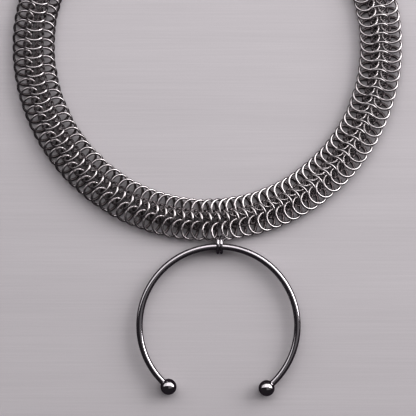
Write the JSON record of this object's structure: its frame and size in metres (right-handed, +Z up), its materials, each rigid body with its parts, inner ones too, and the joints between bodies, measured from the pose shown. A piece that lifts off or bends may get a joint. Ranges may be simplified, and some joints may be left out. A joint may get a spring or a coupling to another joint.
{
  "type": "chainmail necklace",
  "caption": "Choker necklace of linked steel rings woven as a flat band, with an open hoop pendant tipped with balls that hangs on jump rings, laid flat and closed at the back by an oval link.",
  "frame": {"origin": "on the surface that the necklace lies on, under the middle of its whole length and width", "axes": "+Z up from the surface, +Y from the pendant towards the clasp, +X to the wearer's left"},
  "size_m": [0.1542, 0.2146, 0.0074],
  "materials": {
    "mail_steel": "polished drawn wire",
    "rod_steel": "polished",
    "ball_steel": "mirror polished"
  },
  "bodies": {
    "root": {"mail_band": "mail_steel", "connector_ring_left": "rod_steel", "connector_ring_right": "rod_steel", "hoop": "rod_steel", "ball_left": "ball_steel", "ball_right": "ball_steel", "clasp": "mail_steel"}
  },
  "joints": []
}
